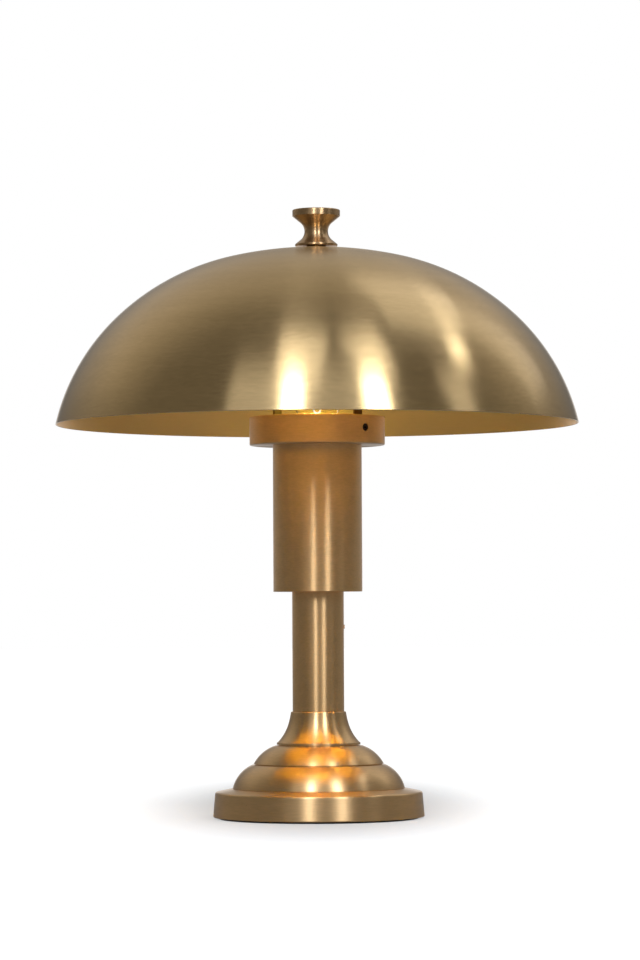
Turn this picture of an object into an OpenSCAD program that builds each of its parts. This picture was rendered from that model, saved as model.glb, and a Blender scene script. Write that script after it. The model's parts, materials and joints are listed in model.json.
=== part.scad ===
// Table lamp with a turned brass foot, a stem, a wide housing tube and a spun dome shade.
// The shade hangs on a flat-bar harp and is held down by a spool-shaped knob.
// The origin is the centre of the foot's underside. +Z is up and the front is towards -Y.

/* [Base plate] */
// Thickness of the felt under the foot
felt_t = 1.5; // [1:0.1:3]
// How far the felt stays inside the plate's foot edge
felt_inset = 4.7; // [3:0.1:6]
// How far the plate's top corner stands outside the lower step, on the radius
plate_margin = 14; // [12:0.5:30]
// How much the plate's side widens from its top corner down to its foot, on the radius
plate_taper = 1.7; // [0:0.1:3]
// Height of the plate's side
plate_side_h = 19.8; // [17:0.1:28]
// Rise of the plate's top face from its corner to the lower step
plate_rise = 2.8; // [1:0.1:5]
// Rounding of the plate's top corner
plate_edge_r = 1.8; // [0.5:0.1:2.5]
// Thickness of the plate's web, where the rod passes through
plate_web_t = 6.1; // [5:0.1:8]
// Thickness of the plate's outer wall at its foot, on the radius
plate_wall = 10.7; // [9.5:0.1:14]
// Thickness of the steel cover under the plate
cover_t = 1.5; // [1:0.1:2]
// Width of the ledge that the cover is screwed to, on the radius
cover_ledge = 6.4; // [6.2:0.1:7]
// Thickness of the iron ballast
ballast_t = 11; // [6:0.1:11]
// Outer diameter of the ballast
ballast_d = 142; // [120:1:142]

/* [Cord inlet] */
// Diameter of the hole through the grommet
inlet_bore_d = 7.2; // [6:0.1:8]
// Diameter of the grommet where it passes through the plate
inlet_body_d = 11; // [10:0.1:12]
// Diameter of the grommet's outer flange
inlet_flange_d = 15; // [14:0.1:16]
// Height of the grommet's axis above the plate's foot
inlet_h = 9; // [8.5:0.1:10]

/* [Foot steps] */
// Diameter of the lower step at its foot
lower_step_d = 138; // [122:1:168]
// Height of the lower step
lower_step_h = 18.9; // [15:0.1:24]
// Radius of the lower step's rounded side
lower_bulge_r = 27; // [26:0.5:60]
// Diameter of the upper step at its foot
upper_step_d = 104.4; // [86:0.2:126]
// Height of the upper step
upper_step_h = 14.5; // [12:0.1:18]
// Radius of the upper step's rounded side
upper_bulge_r = 30; // [24:0.5:60]
// Height of the dark groove above each step
groove_h = 0.8; // [0.4:0.1:1.5]
// How far each step's top edge stands outside what is on it, on the radius
step_reveal = 1.4; // [0.8:0.1:3]
// Wall of the steps
step_wall = 3; // [2:0.1:4]
// Diameter of the flare at its foot
flare_foot_d = 67.2; // [58:0.2:82]
// Height of the flare
flare_h = 26.3; // [21:0.1:34]
// Height of the upright lip at the flare's foot
flare_lip_h = 1.8; // [1:0.1:3]
// Width of the flare's top ledge around the stem
flare_ledge = 1.4; // [0.8:0.1:3]

/* [Stem and housing] */
// Outer diameter of the stem
stem_d = 41.5; // [34:0.1:50]
// Length of the stem between the flare and the housing
stem_len = 96; // [70:0.5:130]
// Wall of the stem
stem_wall = 1.8; // [1.2:0.1:3]
// Height of the stem's set screw above the flare
stem_screw_h = 67.8; // [40:0.1:68]
// How far the set screw stands out of the stem
stem_screw_proud = 0.6; // [0:0.1:1.5]
// Outer diameter of the housing
housing_d = 71.5; // [60:0.1:86]
// Length of the housing below the collar
housing_len = 117.5; // [95:0.5:150]
// Wall of the housing
housing_wall = 2; // [1.5:0.1:3]
// Thickness of the housing's floor
floor_t = 5; // [4:0.1:8]
// Outer diameter of the threaded rod
rod_d = 10; // [8:0.1:10]
// Bore of the threaded rod
rod_bore_d = 6.8; // [6:0.1:7]
// Diameter of the lead that runs inside the rod
lead_d = 4.8; // [4:0.1:5]

/* [Collar] */
// Outer diameter of the collar
collar_d = 108.8; // [90:0.2:131]
// Height of the collar
collar_h = 22.6; // [18:0.1:30]
// Wall of the collar
collar_wall = 7.4; // [6:0.1:9]
// Thickness of the collar's floor
collar_floor = 4; // [3:0.1:6]
// Rounding of the collar's outer edges
collar_edge_r = 0.9; // [0:0.1:1.5]
// Height of the harp screws above the collar's underside
harp_screw_h = 12.5; // [10:0.1:14]
// Diameter of the recess that each harp screw's head sits in
harp_recess_d = 6.4; // [6:0.1:7]

/* [Harp] */
// Angle of the harp's front leg, seen from above, to the right of the front
harp_turn = 45; // [0:1:90]
// Height of the harp above the collar's floor
harp_h = 150; // [124:0.5:190]
// Width of the harp's flat bar
bar_w = 8.5; // [6:0.1:12]
// Thickness of the harp's flat bar
bar_t = 2; // [1.5:0.1:3]
// Outer radius of the harp's top corners
harp_corner_r = 13; // [6:0.5:30]
// Diameter of the stud that the knob screws on
stud_d = 6; // [5:0.1:8]
// How far the knob reaches down the stud
stud_grip = 12.6; // [8:0.1:16]

/* [Shade] */
// Outer diameter of the shade at its rim
shade_d = 420; // [340:1:510]
// Height of the shade from rim to crown
shade_rise = 142; // [118:0.5:172]
// Wall of the shade
shade_wall = 1.2; // [0.8:0.1:3]
// Radius of the flat arc over the crown
crown_r = 320; // [260:1:390]
// Angle from the axis at which the crown arc ends
crown_angle = 13; // [8:1:18]
// Angle from the axis at which the shoulder ends and the side begins
shoulder_angle = 45; // [38:1:52]
// Angle from the axis of the wall's normal at the rim
rim_angle = 77; // [70:1:85]
// Diameter of the seat under the crown
seat_d = 24; // [20:0.5:40]
// Thickness of the seat
seat_t = 3; // [2:0.1:5]
// Diameter of the hub on the seat that centres the shade
hub_d = 10.4; // [9.8:0.1:14]

/* [Knob] */
// Diameter of the knob's foot
knob_foot_d = 34.2; // [28:0.2:41]
// Diameter of the knob's head
knob_head_d = 38.4; // [32:0.2:46]
// Diameter of the knob's waist
knob_waist_d = 19; // [15:0.1:23]
// Radius of the hollow around the waist
knob_cove_r = 9; // [6:0.1:10]
// Slope of the cones above and below the waist, from upright
knob_slope = 51; // [45:1:58]
// Thickness of the knob's foot edge
knob_foot_t = 1.6; // [1:0.1:3]
// Thickness of the knob's head
knob_head_t = 5.3; // [4:0.1:8]
// Diameter of the washer under the knob
knob_washer_d = 16; // [13:0.1:20]
// Thickness of the washer under the knob
knob_washer_t = 1.3; // [1:0.1:2]

/* [Lampholder and bulb] */
// Diameter of the lampholder's threaded sleeve
holder_d = 39; // [38:0.1:40]
// Diameter of the lampholder's shoulder under the collar
holder_shoulder_d = 46; // [45:0.1:48]
// Height of the sleeve's mouth above the collar's underside
holder_up = 17.2; // [15:0.1:22]
// Depth of the shoulder below the collar's underside
holder_down = 12.8; // [11:0.1:16]
// Depth of the bell below the shoulder
bell_h = 24; // [22:0.1:30]
// Outer diameter of the clamping ring on the sleeve
ring_d = 54; // [50:0.5:62]
// Height of the clamping ring
ring_h = 6; // [4:0.1:9]
// Outer diameter of the bulb's threaded cap
cap_d = 26.4; // [26:0.1:26.6]
// Diameter of the bulb's glass
bulb_d = 60; // [50:0.5:72]
// Length of the bulb from tip to top
bulb_len = 105; // [96:0.5:110]
// Wall of the bulb's glass
bulb_wall = 0.8; // [0.6:0.1:1.2]

/* [Hidden] */
$fn = 96;

// Clearances
thread_gap = 0.05;
slide_gap = 0.05;
spigot_gap = 0.5;
rod_gap = 0.3;
seat_gap = 0.3;
fit_gap = 0.1;
leg_gap = 0.05;
knob_gap = 0.08;
knob_seat_gap = 0.12;
washer_seat_gap = 0.25;
harp_rest_gap = 0.02;

// How far a cut runs past the face that it leaves
over = 1;

// Turned edges and fillets
fine_edge = 0.4;
foot_edge = 0.8;
cavity_fillet = 2;

// Heights of the foot, from the floor up
z_plate = felt_t;
z_corner = z_plate + plate_side_h;
z_land = z_corner + plate_rise;
z_web = z_land - plate_web_t;
z_cover = z_plate + cover_t;
z_lower_top = z_land + lower_step_h;
z_upper = z_lower_top + groove_h;
z_upper_top = z_upper + upper_step_h;
z_flare = z_upper_top + groove_h;
z_stem = z_flare + flare_h;
z_housing = z_stem + stem_len;
z_floor_top = z_housing + floor_t;
z_collar = z_housing + housing_len;
z_collar_floor = z_collar + collar_floor;
z_collar_top = z_collar + collar_h;

// Radii of the base plate
plate_top_r = lower_step_d / 2 + plate_margin;
plate_foot_r = plate_top_r + plate_taper;
cavity_r = plate_foot_r - plate_wall;
cover_seat_r = cavity_r + cover_ledge;
land_r = lower_step_d / 2 + spigot_gap;

// Cover screws
cover_screw_r = 1.5;
cover_screw_head_r = 3;
cover_screw_len = 8;
cover_hole_depth = 9;
cover_screw_ring = cavity_r + cover_ledge / 2;
cover_screw_angles = [30, 150, 270];

// Ballast, held up against the plate's web
z_ballast = z_web - ballast_t;
ballast_sink = 0.5;
ballast_hole_depth = 4.5;
ballast_bore_r = 14;
notch_w = 28;
ballast_screw_r = 2.5;
ballast_head_r = 4.6;
ballast_head_h = 3;
ballast_screw_x = 42;
ballast_screw_bite = 4;

// Grommet in the back of the plate
z_inlet = z_plate + inlet_h;
inlet_flat_y = plate_top_r - fit_gap;
inlet_flange_t = 2;
inlet_facing_d = inlet_flange_d + 1;
inlet_lip_t = 1.3;
inlet_lip_r = 6.3;

// Terminal block under the web
block_w = 24;
block_d = 17;
block_y = 33;
block_drop = 14;
pole_pitch = 8;
block_rows = [0.25, 0.75];
block_screw_r = 1.8;
block_screw_h = 3.4;
block_screw_sink = 0.5;
slot_w = 0.5;
slot_depth = 0.8;
fixing_x = pole_pitch / 2;
fixing_y = block_y + block_d / 2;
fixing_r = 1.3;
fixing_head_r = 2.4;
fixing_head_h = 1.6;
fixing_bite = 4;

// Earth lug and screw
earth_x = -pole_pitch;
earth_y = 23;
lug_r = 3.8;
lug_t = 0.8;
wire_r = 0.9;
wire_bite = 4;
earth_head_r = 2.8;
earth_head_h = 2.4;
earth_bite = 3.6;
earth_hole_depth = 4;
z_wire = z_web - lug_t - wire_r / 2;

// Steps and flare
lower_top_r = upper_step_d / 2 + step_reveal;
upper_top_r = flare_foot_d / 2 + step_reveal;
spigot_h = 1.5;
cove_start = 0.38;
cove_power = 2.8;
stem_r = stem_d / 2;
stem_in_r = stem_r - stem_wall;
flare_bore_r = stem_r - 5;
flare_web_t = 5.4;
flare_steps = 14;
stem_spigot_h = 6;

lower_register_r =
    step_inside(lower_step_d / 2, lower_top_r, lower_step_h, lower_bulge_r) - spigot_gap;
upper_register_r =
    step_inside(upper_step_d / 2, upper_top_r, upper_step_h, upper_bulge_r) - spigot_gap;

// Stem bush and its set screw
bush_t = 10;
z_stem_screw = z_stem + stem_screw_h;
stem_screw_r = 1.6;
stem_screw_len = 10;
stem_screw_socket = 1.5;

// Rod, nuts and washers
rod_r = rod_d / 2;
nut_h = 4;
nut_af = 17;
floor_flange_t = 1.2;
washer_t = 1.5;
washer_r = 11;
rod_end_drop = 0.5;
z_rod = z_web - washer_t - nut_h - rod_end_drop;
z_sleeve_foot = z_collar - holder_down;
z_bell = z_sleeve_foot - bell_h;
bell_neck_h = 8;
bell_neck_r = 9;
bell_neck_len = 6;
bell_cone_top = 15;
bell_rim_h = 18;
z_rod_top = z_bell + bell_neck_h;

// Lampholder
holder_r = holder_d / 2;
shoulder_r = holder_shoulder_d / 2;
z_mouth = z_collar + holder_up;
cap_r = cap_d / 2;
shell_wall = 0.9;
shell_in_r = cap_r + fit_gap;
shell_out_r = shell_in_r + shell_wall;
insert_r = 17.2;
insert_bore_r = 1.2;
insert_h = 9;
insert_bite = 2;
insert_gap = 0.4;
z_insert_top = z_sleeve_foot + insert_bite;
contact_h = 2;
contact_r = 3.4;
strap_w = 4;
strap_len = 9;
strap_t = 0.6;
shell_h = 24;
mouth_edge = 0.5;

// Bulb, from its tip up
z_tip = z_insert_top + contact_h;
tip_h = 1.5;
tip_r = 4.6;
insulator_h = 3.5;
z_insulator = z_tip + tip_h;
z_cap = z_insulator + insulator_h;
cap_h = 21.5;
cap_wall = 0.5;
cap_groove = 0.9;
cap_foot_h = 2;
thread_pitch = 3.62;
thread_turns = 4;
z_glass = z_cap + cap_h;
bulb_r = bulb_d / 2;
z_bulb_mid = z_tip + bulb_len - bulb_r;
pinch_h = 27;
filament_h = 34;
filament_ring = 8;
filament_r = 0.9;
support_r = 0.4;

// Lead, from the terminal block into the rod
lead_r = lead_d / 2;
lead_bend_r = 8;
z_lead = z_rod - lead_r - 2.6;

// Collar and harp
collar_r = collar_d / 2;
collar_in_r = collar_r - collar_wall;
housing_r = housing_d / 2;
housing_in_r = housing_r - housing_wall;
z_harp_screw = z_collar + harp_screw_h;
harp_screw_r = 1.5;
harp_head_r = 2.75;
harp_head_h = 3;
harp_recess = 3.6;
socket_af = 2.4;
socket_depth = 1.8;
lip_w = 4;
spigot_drop = 4;
leg_out_r = sqrt(pow(collar_in_r, 2) - pow(bar_w / 2, 2)) - leg_gap;
leg_in_r = leg_out_r - bar_t;
z_harp_top = z_collar_floor + harp_h;

// Shade: the shoulder and side arcs are solved so that the wall meets the rim
shade_r = shade_d / 2;
hub_r = hub_d / 2;
seat_r = seat_d / 2;
z_seat = z_harp_top + harp_rest_gap;
z_seat_top = z_seat + seat_t;
seat_sag = (crown_r - shade_wall) - sqrt(pow(crown_r - shade_wall, 2) - pow(seat_r, 2));
z_crown = z_seat_top + seat_gap + seat_sag + shade_wall;
z_rim = z_crown - shade_rise;
run_left = shade_r - crown_r * sin(crown_angle);
rise_left = shade_rise - crown_r * (1 - cos(crown_angle));
run_a = sin(shoulder_angle) - sin(crown_angle);
run_b = sin(rim_angle) - sin(shoulder_angle);
rise_a = cos(crown_angle) - cos(shoulder_angle);
rise_b = cos(shoulder_angle) - cos(rim_angle);
arc_share = run_a * rise_b - run_b * rise_a;
shoulder_r_arc = (run_left * rise_b - run_b * rise_left) / arc_share;
side_r_arc = (run_a * rise_left - run_left * rise_a) / arc_share;
crown_c = [0, z_crown - crown_r];
shoulder_c = crown_c + (crown_r - shoulder_r_arc) * [sin(crown_angle), cos(crown_angle)];
side_c = shoulder_c + (shoulder_r_arc - side_r_arc) * [sin(shoulder_angle), cos(shoulder_angle)];

// Knob
z_knob_washer = z_crown + washer_seat_gap;
z_knob = z_knob_washer + knob_washer_t + knob_seat_gap;
waist_r = knob_waist_d / 2;
cove_c_r = waist_r + knob_cove_r;
cone_start_r = cove_c_r - knob_cove_r * cos(knob_slope);
cone_start_h = knob_cove_r * sin(knob_slope);
foot_cone_h = (knob_foot_d / 2 - cone_start_r) / tan(knob_slope);
head_cone_h = (knob_head_d / 2 - cone_start_r) / tan(knob_slope);
z_waist = z_knob + knob_foot_t + foot_cone_h + cone_start_h;
z_knob_head = z_waist + cone_start_h + head_cone_h;
z_knob_top = z_knob_head + knob_head_t;
knob_edge_r = 1;
stud_r = stud_d / 2;
z_stud_top = z_knob + stud_grip;
stud_head_h = 3.5;
stud_head_af = 9;
stud_end_gap = 1.5;

// Finishes
brass = [0.72, 0.58, 0.36];
brown_brass = [0.62, 0.48, 0.30];
steel = [0.62, 0.62, 0.64];
iron = [0.22, 0.22, 0.23];
black = [0.07, 0.07, 0.07];
white = [0.90, 0.89, 0.86];
copper_green = [0.35, 0.55, 0.20];

// Points of an arc about c, from angle a to angle b in degrees, in n steps
function arc(c, r, a, b, n, first = 0) =
    [for (i = [first:n]) c + r * [cos(a + (b - a) * i / n), sin(a + (b - a) * i / n)]];

// Centre of the circle of radius r through p and q that lies to the left of the way from p to q
function left_centre(p, q, r) =
    let (d = q - p, m = (p + q) / 2)
    m + sqrt(r * r - d * d / 4) * [-d.y, d.x] / norm(d);

// Direction of p seen from c, in degrees
function bearing(c, p) = atan2(p.y - c.y, p.x - c.x);

// Points that round the corner b between a and c with radius r
function corner(a, b, c, r, n) =
    r == 0 ? [b] :
    let (
        u = (a - b) / norm(a - b),
        v = (c - b) / norm(c - b),
        half = acos(u * v) / 2,
        m = b + (u + v) / norm(u + v) * r / sin(half),
        s = bearing(m, b + u * r / tan(half)),
        e = bearing(m, b + v * r / tan(half)),
        turn = e - s > 180 ? e - s - 360 : e - s < -180 ? e - s + 360 : e - s
    )
    arc(m, r, s, s + turn, n);

// Outline from corners given as [radius, height, rounding], each rounded in n steps
function outline(p, n = 4) =
    [for (i = [0:len(p) - 1])
        let (
            a = p[(i + len(p) - 1) % len(p)],
            b = p[i],
            c = p[(i + 1) % len(p)]
        )
        each corner([a.x, a.y], [b.x, b.y], [c.x, c.y], b.z, n)];

module turned(points) {
    rotate_extrude() polygon(points);
}

module ring(outer_r, inner_r, z, h) {
    translate([0, 0, z]) difference() {
        cylinder(r = outer_r, h = h);
        translate([0, 0, -over]) cylinder(r = inner_r, h = h + 2 * over);
    }
}

// A round hole or pin along the outward radius at an angle, from radius a to radius b
module spoke(angle, z, r, a, b) {
    rotate([0, 0, angle]) translate([a, 0, z]) rotate([0, 90, 0]) cylinder(r = r, h = b - a);
}

// A round hole or pin towards the back, from depth a to depth b
module bar_back(x, z, r, a, b) {
    translate([x, a, z]) rotate([-90, 0, 0]) cylinder(r = r, h = b - a);
}

// A round hole or pin upwards, from height a to height b
module bar_up(x, y, r, a, b) {
    translate([x, y, a]) cylinder(r = r, h = b - a);
}

// A hexagon prism given by its width across the flats
module hexagon(af, h) {
    cylinder(d = af / cos(30), h = h, $fn = 6);
}

// Base plate and what is under it

module felt_pad() {
    color(black) cylinder(r = plate_foot_r - felt_inset, h = felt_t);
}

// A countersunk screw or its hole, head down, at each place round the cover
module cover_screw_set(gap, depth) {
    for (a = cover_screw_angles) rotate([0, 0, a]) translate([cover_screw_ring, 0, z_plate]) union() {
        cylinder(r1 = cover_screw_head_r + gap, r2 = cover_screw_r + gap, h = cover_t);
        cylinder(r = cover_screw_r + gap, h = cover_t + depth);
    }
}

module bottom_cover() {
    color(steel) difference() {
        translate([0, 0, z_plate]) cylinder(r = cover_seat_r - fit_gap, h = cover_t);
        cover_screw_set(thread_gap, over);
    }
}

module cover_screws() {
    color(steel) cover_screw_set(0, cover_screw_len);
}

module ballast_weight() {
    head_room = ballast_sink + ballast_head_h + over;
    color(iron) difference() {
        ring(ballast_d / 2, ballast_bore_r, z_ballast, ballast_t);
        translate([-notch_w / 2, 0, z_ballast - over]) cube([notch_w, ballast_d, ballast_t + 2 * over]);
        for (x = [-ballast_screw_x, ballast_screw_x]) {
            bar_up(x, 0, ballast_screw_r + rod_gap, z_ballast - over, z_web + over);
            bar_up(x, 0, ballast_head_r + rod_gap, z_ballast - over, z_ballast + head_room - over);
        }
    }
}

module ballast_screws() {
    z0 = z_ballast + ballast_sink;
    color(steel) for (x = [-ballast_screw_x, ballast_screw_x]) union() {
        bar_up(x, 0, ballast_head_r, z0, z0 + ballast_head_h);
        bar_up(x, 0, ballast_screw_r, z0, z_web + ballast_screw_bite);
    }
}

module base_plate() {
    color(brass) difference() {
        turned(outline([
            [rod_r + rod_gap, z_web, 0],
            [cavity_r, z_web, cavity_fillet],
            [cavity_r, z_cover, 0],
            [cover_seat_r, z_cover, 0],
            [cover_seat_r, z_plate, 0],
            [plate_foot_r, z_plate, foot_edge],
            [plate_top_r, z_corner, plate_edge_r],
            [land_r, z_land, 0],
            [lower_register_r, z_land, 0],
            [lower_register_r, z_land + spigot_h, fine_edge],
            [rod_r + rod_gap, z_land + spigot_h, 0]
        ]));
        bar_back(0, z_inlet, inlet_body_d / 2 + fit_gap, ballast_d / 2 - 2 * over, plate_foot_r + over);
        bar_back(0, z_inlet, inlet_facing_d / 2, inlet_flat_y, plate_foot_r + over);
        for (a = cover_screw_angles) rotate([0, 0, a])
            bar_up(cover_screw_ring, 0, cover_screw_r + thread_gap, z_cover - over,
                z_cover + cover_hole_depth);
        for (x = [-ballast_screw_x, ballast_screw_x])
            bar_up(x, 0, ballast_screw_r + thread_gap, z_web - over, z_web + ballast_hole_depth);
        bar_up(earth_x, earth_y, block_screw_r + thread_gap, z_web - over, z_web + earth_hole_depth);
        bar_up(fixing_x, fixing_y, fixing_r + thread_gap, z_web - over, z_web + fixing_bite + thread_gap);
    }
}

module cord_grommet() {
    reach = inlet_flat_y + inlet_flange_t;
    lip_y = sqrt(pow(cavity_r, 2) - pow(inlet_lip_r, 2)) - fit_gap;
    color(black) difference() {
        union() {
            bar_back(0, z_inlet, inlet_body_d / 2, lip_y - inlet_lip_t, reach);
            bar_back(0, z_inlet, inlet_lip_r, lip_y - inlet_lip_t, lip_y);
            bar_back(0, z_inlet, inlet_flange_d / 2, inlet_flat_y, reach);
        }
        bar_back(0, z_inlet, inlet_bore_d / 2, lip_y - inlet_lip_t - over, reach + over);
    }
}

// The block's screws or their holes, from the block's underside up
module pole_set(r, a, b) {
    for (p = [-1:1], row = block_rows)
        bar_up(p * pole_pitch, block_y + block_d * row, r, z_web - block_drop + a, z_web - block_drop + b);
}

module terminal_block() {
    z0 = z_web - block_drop;
    color(white) difference() {
        translate([-block_w / 2, block_y, z0]) cube([block_w, block_d, block_drop]);
        pole_set(block_screw_r + thread_gap, -over, block_screw_sink + block_screw_h + thread_gap);
        bar_back(earth_x, z_wire, wire_r + thread_gap, block_y - over, block_y + wire_bite + over);
        bar_up(fixing_x, fixing_y, fixing_r + fit_gap, z0 - over, z_web + over);
        bar_up(fixing_x, fixing_y, fixing_head_r + fit_gap, z0 - over, z0 + fixing_head_h + over);
    }
}

module terminal_screws() {
    color(brass) difference() {
        pole_set(block_screw_r, block_screw_sink, block_screw_sink + block_screw_h);
        for (row = block_rows)
            translate([-block_w / 2, block_y + block_d * row - slot_w / 2, z_web - block_drop])
                cube([block_w, slot_w, block_screw_sink + slot_depth]);
    }
}

module block_screw() {
    z0 = z_web - block_drop + over;
    color(steel) union() {
        bar_up(fixing_x, fixing_y, fixing_head_r, z0, z0 + fixing_head_h);
        bar_up(fixing_x, fixing_y, fixing_r, z0, z_web + fixing_bite);
    }
}

module earth_wire() {
    color(copper_green) difference() {
        union() {
            bar_up(earth_x, earth_y, lug_r, z_web - lug_t, z_web);
            bar_back(earth_x, z_wire, wire_r, earth_y + lug_r - lug_t, block_y + wire_bite);
        }
        bar_up(earth_x, earth_y, block_screw_r + fit_gap, z_web - lug_t - over, z_web + over);
    }
}

module earth_screw() {
    z_lug = z_web - lug_t;
    color(brass) union() {
        bar_up(earth_x, earth_y, earth_head_r, z_lug - earth_head_h, z_lug);
        bar_up(earth_x, earth_y, block_screw_r, z_lug, z_web + earth_bite);
    }
}

// Foot steps and flare

// Inside radius of a step at the height where the register below it ends
function step_inside(foot_r, top_r, h, bulge) =
    let (c = left_centre([foot_r, 0], [top_r, h], bulge))
    c.x + sqrt(pow(bulge - step_wall, 2) - pow(spigot_h - c.y, 2));

// A hollow turned step: foot radius, top radius, foot height, height and side radius,
// then the radius of what stands on it and of the register that centres that
module step(foot_r, top_r, z, h, bulge, stands_r, register_r) {
    p = [foot_r, z];
    q = [top_r, z + h];
    c = left_centre(p, q, bulge);
    in_r = bulge - step_wall;
    z_under = z + h - step_wall;
    bore = rod_r + rod_gap;
    side = arc(c, bulge, bearing(c, p), bearing(c, q), 14);
    inside = arc(c, in_r, asin((z_under - c.y) / in_r), asin((z - c.y) / in_r), 10);
    top = [
        [stands_r - step_reveal, z + h],
        [stands_r - step_reveal, z + h + groove_h],
        [register_r, z + h + groove_h],
        [register_r, z + h + groove_h + spigot_h],
        [bore, z + h + groove_h + spigot_h],
        [bore, z_under]
    ];
    turned(concat(side, top, inside));
}

module lower_step() {
    color(brown_brass) step(
        lower_step_d / 2, lower_top_r, z_land, lower_step_h, lower_bulge_r,
        upper_step_d / 2, upper_register_r
    );
}

module upper_step() {
    color(brown_brass) step(
        upper_step_d / 2, upper_top_r, z_upper, upper_step_h, upper_bulge_r,
        flare_foot_d / 2, flare_bore_r - spigot_gap
    );
}

module stem_flare() {
    top_r = stem_r + flare_ledge;
    foot_r = flare_foot_d / 2;
    cove_r = foot_r - step_reveal / 2;
    z_lip = z_flare + flare_lip_h;
    z_edge = z_stem - fine_edge;
    cove = [for (i = [0:flare_steps]) let (t = i / flare_steps)
        [top_r + (cove_r - top_r) * (cove_start * t + (1 - cove_start) * pow(t, cove_power)),
         z_edge - (z_edge - z_lip) * t]];
    lip = arc([foot_r - fine_edge, z_lip - fine_edge], fine_edge, 90, 0, 3);
    color(brown_brass) turned(concat(
        [
            [rod_r + rod_gap, z_stem - flare_web_t],
            [rod_r + rod_gap, z_stem + stem_spigot_h],
            [stem_in_r - slide_gap, z_stem + stem_spigot_h],
            [stem_in_r - slide_gap, z_stem],
            [top_r - fine_edge, z_stem]
        ],
        cove,
        lip,
        [
            [foot_r, z_flare],
            [flare_bore_r, z_flare],
            [flare_bore_r, z_stem - flare_web_t]
        ]
    ));
}

// Stem, rod and housing

module stem_tube() {
    color(brown_brass) difference() {
        ring(stem_r, stem_in_r, z_stem, stem_len);
        spoke(0, z_stem_screw, stem_screw_r + thread_gap, stem_in_r - over, stem_r + over);
    }
}

module stem_bush() {
    color(brass) difference() {
        ring(stem_in_r - slide_gap, rod_r + rod_gap, z_stem_screw - bush_t / 2, bush_t);
        spoke(0, z_stem_screw, stem_screw_r + thread_gap, rod_r - over, stem_in_r + over);
    }
}

module stem_screw() {
    out = stem_r + stem_screw_proud;
    color(steel) difference() {
        spoke(0, z_stem_screw, stem_screw_r, out - stem_screw_len, out);
        translate([out - stem_screw_socket, 0, z_stem_screw]) rotate([0, 90, 0])
            hexagon(stem_screw_socket, stem_screw_socket + over);
    }
}

module threaded_rod() {
    color(steel) ring(rod_r, rod_bore_d / 2, z_rod, z_rod_top - z_rod);
}

module rod_nut(z) {
    translate([0, 0, z]) difference() {
        hexagon(nut_af, nut_h);
        translate([0, 0, -over]) cylinder(r = rod_r + thread_gap, h = nut_h + 2 * over);
    }
}

module rod_nuts() {
    color(steel) for (z = [z_web - washer_t - nut_h, z_floor_top + washer_t, z_bell - nut_h])
        rod_nut(z);
}

module rod_washers() {
    color(steel) for (z = [z_web - washer_t, z_floor_top])
        ring(washer_r, rod_r + fit_gap, z, washer_t);
}

module inner_lead() {
    z_up = z_lead + lead_bend_r;
    z_end = z_insert_top - insert_h;
    color(white) union() {
        bar_back(0, z_lead, lead_r, lead_bend_r, block_y);
        translate([0, lead_bend_r, z_up]) rotate([0, 90, 0]) rotate([0, 0, -90])
            rotate_extrude(angle = 90) translate([lead_bend_r, 0]) circle(r = lead_r);
        bar_up(0, 0, lead_r, z_up, z_end);
    }
}

module housing_floor() {
    flange_r = housing_in_r + housing_wall / 2 - slide_gap;
    color(brass) turned([
        [rod_r + rod_gap, z_housing - stem_spigot_h],
        [stem_in_r - slide_gap, z_housing - stem_spigot_h],
        [stem_in_r - slide_gap, z_housing],
        [flange_r, z_housing],
        [flange_r, z_housing + floor_flange_t],
        [housing_in_r - slide_gap, z_housing + floor_flange_t],
        [housing_in_r - slide_gap, z_floor_top],
        [rod_r + rod_gap, z_floor_top]
    ]);
}

module housing_tube() {
    color(brown_brass) difference() {
        ring(housing_r, housing_in_r, z_housing, housing_len);
        bar_up(0, 0, housing_in_r + housing_wall / 2, z_housing - over,
            z_housing + floor_flange_t + slide_gap);
    }
}

// Collar, harp and lampholder

module collar() {
    spigot_r = housing_in_r - slide_gap;
    color(brown_brass) difference() {
        turned(outline([
            [holder_r + fit_gap, z_collar, 0],
            [shoulder_r + lip_w, z_collar, 0],
            [shoulder_r + lip_w, z_collar - spigot_drop, 0],
            [spigot_r, z_collar - spigot_drop, 0],
            [spigot_r, z_collar, 0],
            [collar_r, z_collar, collar_edge_r],
            [collar_r, z_collar_top, collar_edge_r],
            [collar_in_r, z_collar_top, fine_edge],
            [collar_in_r, z_collar_floor, 0],
            [holder_r + fit_gap, z_collar_floor, 0]
        ]));
        for (a = [-harp_turn, 180 - harp_turn]) {
            spoke(a, z_harp_screw, harp_screw_r + thread_gap, collar_in_r - over, collar_r);
            spoke(a, z_harp_screw, harp_recess_d / 2, collar_r - harp_recess, collar_r + over);
        }
    }
}

module collar_screws() {
    head = collar_r - harp_recess;
    color(steel) for (a = [-harp_turn, 180 - harp_turn]) difference() {
        union() {
            spoke(a, z_harp_screw, harp_head_r, head, head + harp_head_h);
            spoke(a, z_harp_screw, harp_screw_r, leg_in_r, head);
        }
        rotate([0, 0, a]) translate([head + harp_head_h - socket_depth, 0, z_harp_screw])
            rotate([0, 90, 0]) hexagon(socket_af, socket_depth + over);
    }
}

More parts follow.
